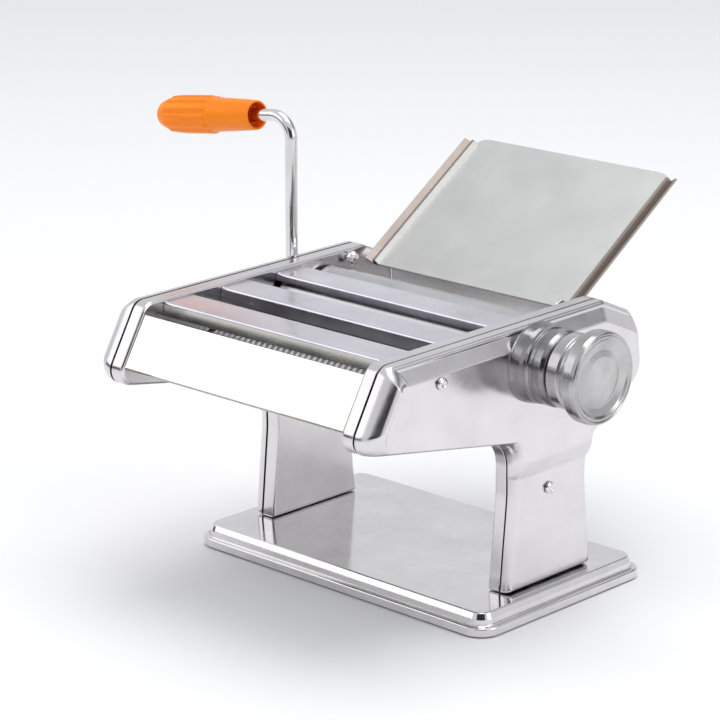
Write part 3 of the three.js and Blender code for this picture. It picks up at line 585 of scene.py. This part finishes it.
def covers():
    right = combined(cover_skin(0), "DIFFERENCE", cover_skin(1))
    right.name = "right_cover_shell"
    left = mirrored(right, "left_cover_shell")
    sockets = [(*driven_axis, journal_radius + 0.4)]
    sockets += [(*driver, drive_journal + 0.4) for driver, _ in cutters.values()]
    combined(left, "DIFFERENCE", *drills(sockets, -head_face_x - 4, -seam_x + 2))
    seat = [(*dial_axis, boss_radius - 6)]
    combined(right, "DIFFERENCE", *drills(seat, seam_x - 2, head_face_x + 4))
    finish(left, chrome, "frame", ["left_outer_cover"], 40)
    finish(right, chrome, "frame", ["right_outer_cover"], 40)


for side, outwards in (("left", -1), ("right", 1)):
    side_frame(side, outwards)
covers()


# ---------------------------------------------------------------- guide strips across the top
def guide_strip(place):
    """A flat sheet with a rounded bend down into the slot in front of it."""
    low, high = span(f"{place}_guide_strip")
    top, front, back = high[2], low[1] + 3.2, high[1]
    thick = 0.9
    # The rear strip hangs over the adjustable roller, so its lip is short.
    drop = top - 4 if place == "rear" else low[2]
    rear_drop = top - thick if place == "rear" else top - 3.6
    outer = [(back, rear_drop, 0), (back, top, 0.9), (front, top, 1.6), (front - 0.5, drop, 0.3)]
    inner = [(front - 0.5 + thick, drop, 0.3), (front + thick, top - thick, 0.7)]
    rear_lip = [(back - thick, top - thick, 0.3), (back - thick, rear_drop, 0.2)]
    outline = outer + inner + (rear_lip if place != "rear" else [])
    section = filleted(outline, 5)
    ends = (low[0], high[0])
    rings = [from_side(section, x) for x in ends]
    sheet_strip = lofted(f"{place}_strip_sheet", rings)
    finish(sheet_strip, strip_metal, "frame", [f"{place}_guide_strip"])


for place in cutters:
    guide_strip(place)


# ---------------------------------------------------------------- screws
def screw(node, seat_x, outwards, radius):
    """A domed round head with a dimple in its middle."""
    profile = filleted(
        [
            (0, 1.1, 0),
            (radius * 0.3, 1.3, 0.3),
            (radius * 0.55, 1.9, 0.5),
            (radius, 1.2, 0.7),
            (radius, 0, 0.1),
            (radius - 1.3, 0, 0.1),
            (radius - 1.3, -5, 0),
            (0, -5, 0),
        ],
        5,
        closed=False,
    )
    placed = [(r, seat_x + outwards * along) for r, along in profile]
    head = turned(f"{node}_head", placed, about_x(middle(node)[1:]), 32, closed=False)
    finish(head, bright_chrome, "frame", [node])


for side, outwards in (("left", -1), ("right", 1)):
    for place, face_x in (("upper", head_face_x), ("lower", leg_face_x)):
        screw(f"{side}_cover_screw_{place}", outwards * (face_x + 0.3), outwards, 3.2)


# ---------------------------------------------------------------- dial boss and knob
def boss():
    start, stop = head_face_x - 0.6, span("dial_boss")[1][0]
    r = boss_radius
    profile = filleted(
        [
            (9, start, 0),
            (r + 0.9, start, 0.3),
            (r + 1.5, start + 1.6, 2),
            (r + 0.7, start + 6.5, 3),
            (r + 0.1, start + 8.6, 0.8),
            (r + 0.3, start + 10.6, 0.8),
            (r - 0.6, start + 11.4, 0.6),
            (r - 0.6, start + 13.6, 0.6),
            (r + 0.2, start + 14.6, 0.8),
            (r + 0.2, stop - 2.4, 1),
            (r - 0.9, stop - 0.6, 0.8),
            (r - 1.9, stop, 0.5),
            (9, stop, 0),
        ],
        5,
        closed=False,
    )
    body = turned("dial_boss_shell", profile, about_x(dial_axis), 96, closed=False)
    finish(body, deep_shade_painted_chrome, "frame", ["dial_boss"])


def knob():
    low, high = span("knob")
    start, stop = low[0], high[0]
    rim = (high[1] - low[1]) / 2
    neck = rim - 4.4
    profile = filleted(
        [
            (5.4, start, 0),
            (neck - 1, start, 0.6),
            (neck + 0.1, start + 1.1, 0.8),
            (neck + 0.2, start + 7.2, 0.8),
            (neck - 0.9, start + 8.2, 0.6),
            (neck - 0.7, start + 9.4, 0.6),
            (neck + 0.7, start + 10.4, 0.8),
            (neck + 1.2, start + 11.8, 1),
            (rim - 0.5, start + 13.2, 1.4),
            (rim, start + 15, 1.6),
            (rim, stop - 2.8, 1.4),
            (rim - 0.5, stop - 0.6, 1),
            (rim - 1.3, stop, 0.7),
            (rim - 2.2, stop - 0.7, 0.6),
            (rim - 2.3, stop - 2.4, 0.3),
            (rim - 6, stop - 4.6, 0),
            (5.4, stop - 6, 0),
        ],
        5,
        closed=False,
    )
    shell = turned("knob_shell", profile, about_x(dial_axis), 112, closed=False)
    finish(shell, shade_painted_chrome, "knob", ["knob"])


def knob_face():
    low, high = span("knob_face")
    r, top = (high[1] - low[1]) / 2, high[0]
    profile = filleted(
        [
            (0, low[0], 0),
            (r - 3, low[0], 1),
            (r, low[0] + 0.6, 0.3),
            (r - 0.1, top - 0.6, 0.5),
            (r - 1.5, top - 0.5, 0.6),
            (r - 2.8, top - 1.5, 1.2),
            (r * 0.68, top - 2.6, 3),
            (r * 0.5, top - 1.7, 2.5),
            (0, top - 1.3, 0),
        ],
        8,
        closed=False,
    )
    disc = turned("knob_face_disc", profile, about_x(dial_axis), 112, closed=False)
    finish(disc, shade_painted_chrome, "knob", ["knob_face"])


boss()
knob()
knob_face()


# ---------------------------------------------------------------- rollers
socket_radius, socket_depth = 3.8, 23  # of the crank's sockets


def smooth_roller(node, body, axis):
    low, high = span(node)
    half = rolling_half
    # The crank's socket is blind; the eccentric shaft runs right through the other roller.
    blind = body == "driven_roller"
    bore_through = 3.5, high[0]
    socket, socket_end = (socket_radius, low[0] + socket_depth) if blind else bore_through
    profile = filleted(
        [
            (0 if blind else socket, socket_end, 0),
            (socket, socket_end, 0),
            (socket, low[0], 0.3),
            (journal_radius, low[0], 0.5),
            (journal_radius, -half, 0),
            (roller_radius, -half, 0.9),
            (roller_radius, half, 0.9),
            (journal_radius, half, 0),
            (journal_radius, high[0], 0.5),
            (0 if blind else socket, high[0], 0),
        ],
        4,
        closed=False,
    )
    roller = turned(f"{node}_ground", profile, about_x(axis), 80, closed=False)
    finish(roller, ground, body, [node])


smooth_roller("driven_roller", "driven_roller", driven_axis)
smooth_roller("adjustable_roller", "adjustable_roller", adjustable_axis)

# Widths of the noodles that each pair cuts, and the radii of the discs and grooves.
NOODLE = {"rear": 6.25, "middle": 2, "front": 3.75}
CUTTER_LAND, CUTTER_ROOT, CUTTER_PLAY = 8.85, 7.1, 0.12


def cutter_roller(place, kind, axis):
    """A roller of discs and grooves; the pair's discs stand in each other's grooves."""
    node = f"{place}_cutter_{kind}"
    low, high = span(node)
    pitch = NOODLE[place]
    count = int(2 * rolling_half / pitch)
    first = -count * pitch / 2
    journal = drive_journal if kind == "driver" else plain_journal
    profile = [(0, low[0] + (socket_depth if kind == "driver" else 0))]
    if kind == "driver":
        profile += [(socket_radius, low[0] + socket_depth), (socket_radius, low[0])]
    profile += [(journal, low[0]), (journal, -rolling_half)]
    for i in range(count):
        cutting = i % 2 == (0 if kind == "driver" else 1)
        radius = CUTTER_LAND if cutting else CUTTER_ROOT
        play = CUTTER_PLAY if cutting else -CUTTER_PLAY
        profile += [(radius, first + i * pitch + play), (radius, first + (i + 1) * pitch - play)]
    profile += [(plain_journal, rolling_half), (plain_journal, high[0]), (0, high[0])]
    roller = turned(f"{node}_grooved", profile, about_x(axis), 48, closed=False)
    finish(roller, ground, node, [node], 30, weighted=False)


for place, (driver_axis, mate_axis) in cutters.items():
    cutter_roller(place, "driver", driver_axis)
    cutter_roller(place, "mate", mate_axis)


# ---------------------------------------------------------------- crank
rod_radius = 3.4
grip_droop = math.radians(7.5)
grip_axis = np.array((-math.cos(grip_droop), 0, -math.sin(grip_droop)))
rod_inner_end = span("crank_rod")[1][0]
arm_x = -(head_face_x + 7.4)
arm_top = np.array((arm_x, driven_y, axis_z + 92))
grip_start, grip_length = 26, 76


def crank_rod():
    """A round rod bent twice in one upright plane."""
    tip = arm_top + grip_axis * (grip_start + grip_length - 5.5)
    line = filleted(
        [
            (rod_inner_end, axis_z, 0),
            (arm_x, axis_z, 6),
            (arm_x, arm_top[2], 12),
            (tip[0], tip[2], 0),
        ],
        16,
        closed=False,
    )
    sides = 32
    angles = np.linspace(0, 2 * math.pi, sides, endpoint=False)
    rings = []
    for i, point in enumerate(line):
        along = unit(line[min(i + 1, len(line) - 1)] - line[max(i - 1, 0)])
        across = np.array((-along[1], 0, along[0]))
        here = np.array((point[0], driven_y, point[1]))
        circle = np.outer(np.cos(angles), across) + np.outer(np.sin(angles), (0, 1, 0))
        rings.append(here + rod_radius * circle)
    rod = lofted("crank_rod_bent", rings)
    finish(rod, bright_chrome, "crank", ["crank_rod"], 50)


def crank_grip():
    """A moulded grip: a collar with a recess, a swelling body, and ribs on its outer half."""
    reach, bore, recess_depth, recess_radius = grip_length, 3.8, 7, 7
    core = filleted(
        [
            (bore, 2, 0),
            (bore, 6.5, 0),
            (5.9, 5.5, 0.6),
            (6.9, 0.5, 0.5),
            (8, 0, 0.8),
            (8.5, 5, 3),
            (9.2, 22, 20),
            (9.9, 36, 20),
            (9.9, 58, 20),
            (9.3, 68, 8),
            (7.4, reach - 2.2, 5),
            (5.6, reach, 1.2),
            (5.6, reach - 3, 0),
            (bore, reach - 3, 0),
        ],
        6,
        closed=False,
    )
    # More rings along the body, so that the ribs start and stop crisply.
    line = [core[0]]
    for point in core[1:]:
        steps = max(1, int(abs(point[1] - line[-1][1]) / 0.8))
        start = line[-1]
        line += [start + (point - start) * k / steps for k in range(1, steps + 1)]
    sides = 180
    angles = np.linspace(0, 2 * math.pi, sides, endpoint=False)
    rib_count, rib_height, rib_from, rib_to = 12, 0.85, 33, reach - 9
    wave = np.clip(0.5 + 1.1 * np.cos(rib_count * angles), 0, 1)
    across = np.array((grip_axis[2], 0, -grip_axis[0]))
    rings = []
    for radius, along in line:
        outer = radius > 8.2
        rise = np.clip((along - rib_from) / 0.9, 0, 1) * np.clip((rib_to - along) / 0.9, 0, 1)
        r = radius + rib_height * rise * outer * wave
        centre = arm_top + grip_axis * (grip_start + along)
        sideways = np.outer(np.cos(angles), across) + np.outer(np.sin(angles), (0, 1, 0))
        rings.append(centre + r[:, None] * sideways)
    count = len(rings)
    faces = []
    for k in range(count):
        for i in range(sides):
            j = (i + 1) % sides
            n = (k + 1) % count
            faces.append((k * sides + i, k * sides + j, n * sides + j, n * sides + i))
    grip = new_object("crank_grip_moulded", np.vstack(rings), faces)
    finish(grip, orange, "crank_grip", ["crank_grip"], 50)
    grip.data.materials.append(deep_orange)
    recess = arm_top + grip_axis * (grip_start + recess_depth)
    for face in grip.data.polygons:
        offset = np.array(face.center) / MM - recess
        along = offset @ grip_axis
        radius = np.linalg.norm(offset - along * grip_axis)
        if along < 0 and radius < recess_radius:
            face.material_index = 1


crank_rod()
crank_grip()

# ---------------------------------------------------------------- what carries over from the frame
KEPT = {
    "front_panel": (mirror, 0.5),
    "rear_panel": (chrome, 0.5),
    "front_tie_rod": (satin, 0.2),
    "middle_tie_rod": (satin, 0.2),
    "rear_tie_rod": (satin, 0.2),
    "feed_tray": (tray_steel, 0.35),
    "left_tray_screw": (bright_chrome, 0.4),
    "right_tray_screw": (bright_chrome, 0.4),
    "base_stiffener": (satin, 0.4),
    "driven_roller_scraper": (satin, 0.2),
    "adjustable_roller_scraper": (satin, 0.2),
    "rear_cutter_comb": (satin, 0.2),
    "middle_cutter_comb": (satin, 0.2),
    "front_cutter_comb": (satin, 0.2),
    "left_roller_bush": (nylon, 0.2),
    "right_roller_bush": (nylon, 0.2),
    "grip_rivet_washer": (machined, 0.2),
    "eccentric_shaft": (machined, 0.2),
    "left_eccentric_bush": (machined, 0.2),
    "knob_nut": (machined, 0.3),
    "knob_spring": (machined, 0),
    "index_pin": (machined, 0.2),
    "driven_roller_gear": (machined, 0.2),
    "adjustable_roller_gear": (machined, 0.2),
}
for place in cutters:
    KEPT[f"{place}_cutter_driver_gear"] = (machined, 0.2)
    KEPT[f"{place}_cutter_mate_gear"] = (machined, 0.2)

for node, (look, edge) in KEPT.items():
    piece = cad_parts[node]
    piece.data.materials.clear()
    piece.data.materials.append(look)
    weld = piece.modifiers.new("weld", "WELD")
    weld.merge_threshold = 1e-6
    if edge:
        bevel = piece.modifiers.new("soft_edges", "BEVEL")
        bevel.width = edge * MM
        bevel.segments = 3
        bevel.limit_method = "ANGLE"
        bevel.angle_limit = math.radians(40)
        bevel.harden_normals = True

# ---------------------------------------------------------------- floor, light and camera
def card(name, centre, size, towards, colour, seen=False):
    """A flat card that faces a point; it shows in reflections and not to the camera."""
    mesh = bpy.data.meshes.new(name)
    w, h = size[0] / 2, size[1] / 2
    mesh.from_pydata([(-w, -h, 0), (w, -h, 0), (w, h, 0), (-w, h, 0)], [], [(0, 1, 2, 3)])
    made = bpy.data.objects.new(name, mesh)
    bpy.context.scene.collection.objects.link(made)
    made.location = centre
    made.rotation_euler = (Vector(towards) - Vector(centre)).to_track_quat("Z", "Y").to_euler()
    look = Look(name, Base_Color=(*colour, 1), Roughness=0.9)
    mesh.materials.append(look.material)
    made.visible_camera = seen
    made.visible_shadow = seen
    made.visible_diffuse = seen


def softbox(name, centre, towards, size, power):
    data = bpy.data.lights.new(name, "AREA")
    data.shape = "RECTANGLE"
    data.size, data.size_y = size
    data.energy = power
    light = bpy.data.objects.new(name, data)
    bpy.context.scene.collection.objects.link(light)
    light.location = centre
    light.rotation_euler = (Vector(towards) - Vector(centre)).to_track_quat("-Z", "Y").to_euler()


card("floor", (0, 0, 0), (9, 9), (0, 0, 1), (0.86, 0.86, 0.86), seen=True)

world = bpy.data.worlds.new("studio")
bpy.context.scene.world = world
world.use_nodes = True
world.node_tree.nodes["Background"].inputs["Color"].default_value = (0.95, 0.96, 1, 1)
world.node_tree.nodes["Background"].inputs["Strength"].default_value = 0.8

target = (0, -0.02, 0.1)
softbox("front_left_box", (-1.5, -1.4, 1.2), target, (2.2, 1.3), 6)
softbox("top_box", (0.1, 0.2, 1.9), target, (1.6, 1.2), 17)
softbox("right_box", (1.9, 0.5, 0.9), target, (0.9, 1.0), 6)

card("dark_behind_camera", (1.6, -1.75, 0.85), (2.6, 1.5), target, (0.02, 0.018, 0.018))
card("dark_low_front", (-1.3, -1.5, 0.3), (2.6, 0.42), target, (0.03, 0.028, 0.028))
card("grey_rear", (0.5, 2.2, 1.35), (2.4, 1.0), target, (0.3, 0.3, 0.3))

bpy.context.scene.view_settings.view_transform = "Standard"

# The camera looks at the machine from its front right, a little above it.
camera_data = bpy.data.cameras.new("camera")
camera_data.lens = 143.1
camera_data.sensor_width = 36
camera = bpy.data.objects.new("camera", camera_data)
bpy.context.scene.collection.objects.link(camera)
right = Vector((0.7248, 0.6890, 0))
up = Vector((-0.1951, 0.2053, 0.9591))
back = right.cross(up)
rotation = Matrix((right, up, back)).transposed()
camera.matrix_world = Matrix.Translation((0.9713, -1.0664, 0.5372)) @ rotation.to_4x4()
bpy.context.scene.camera = camera
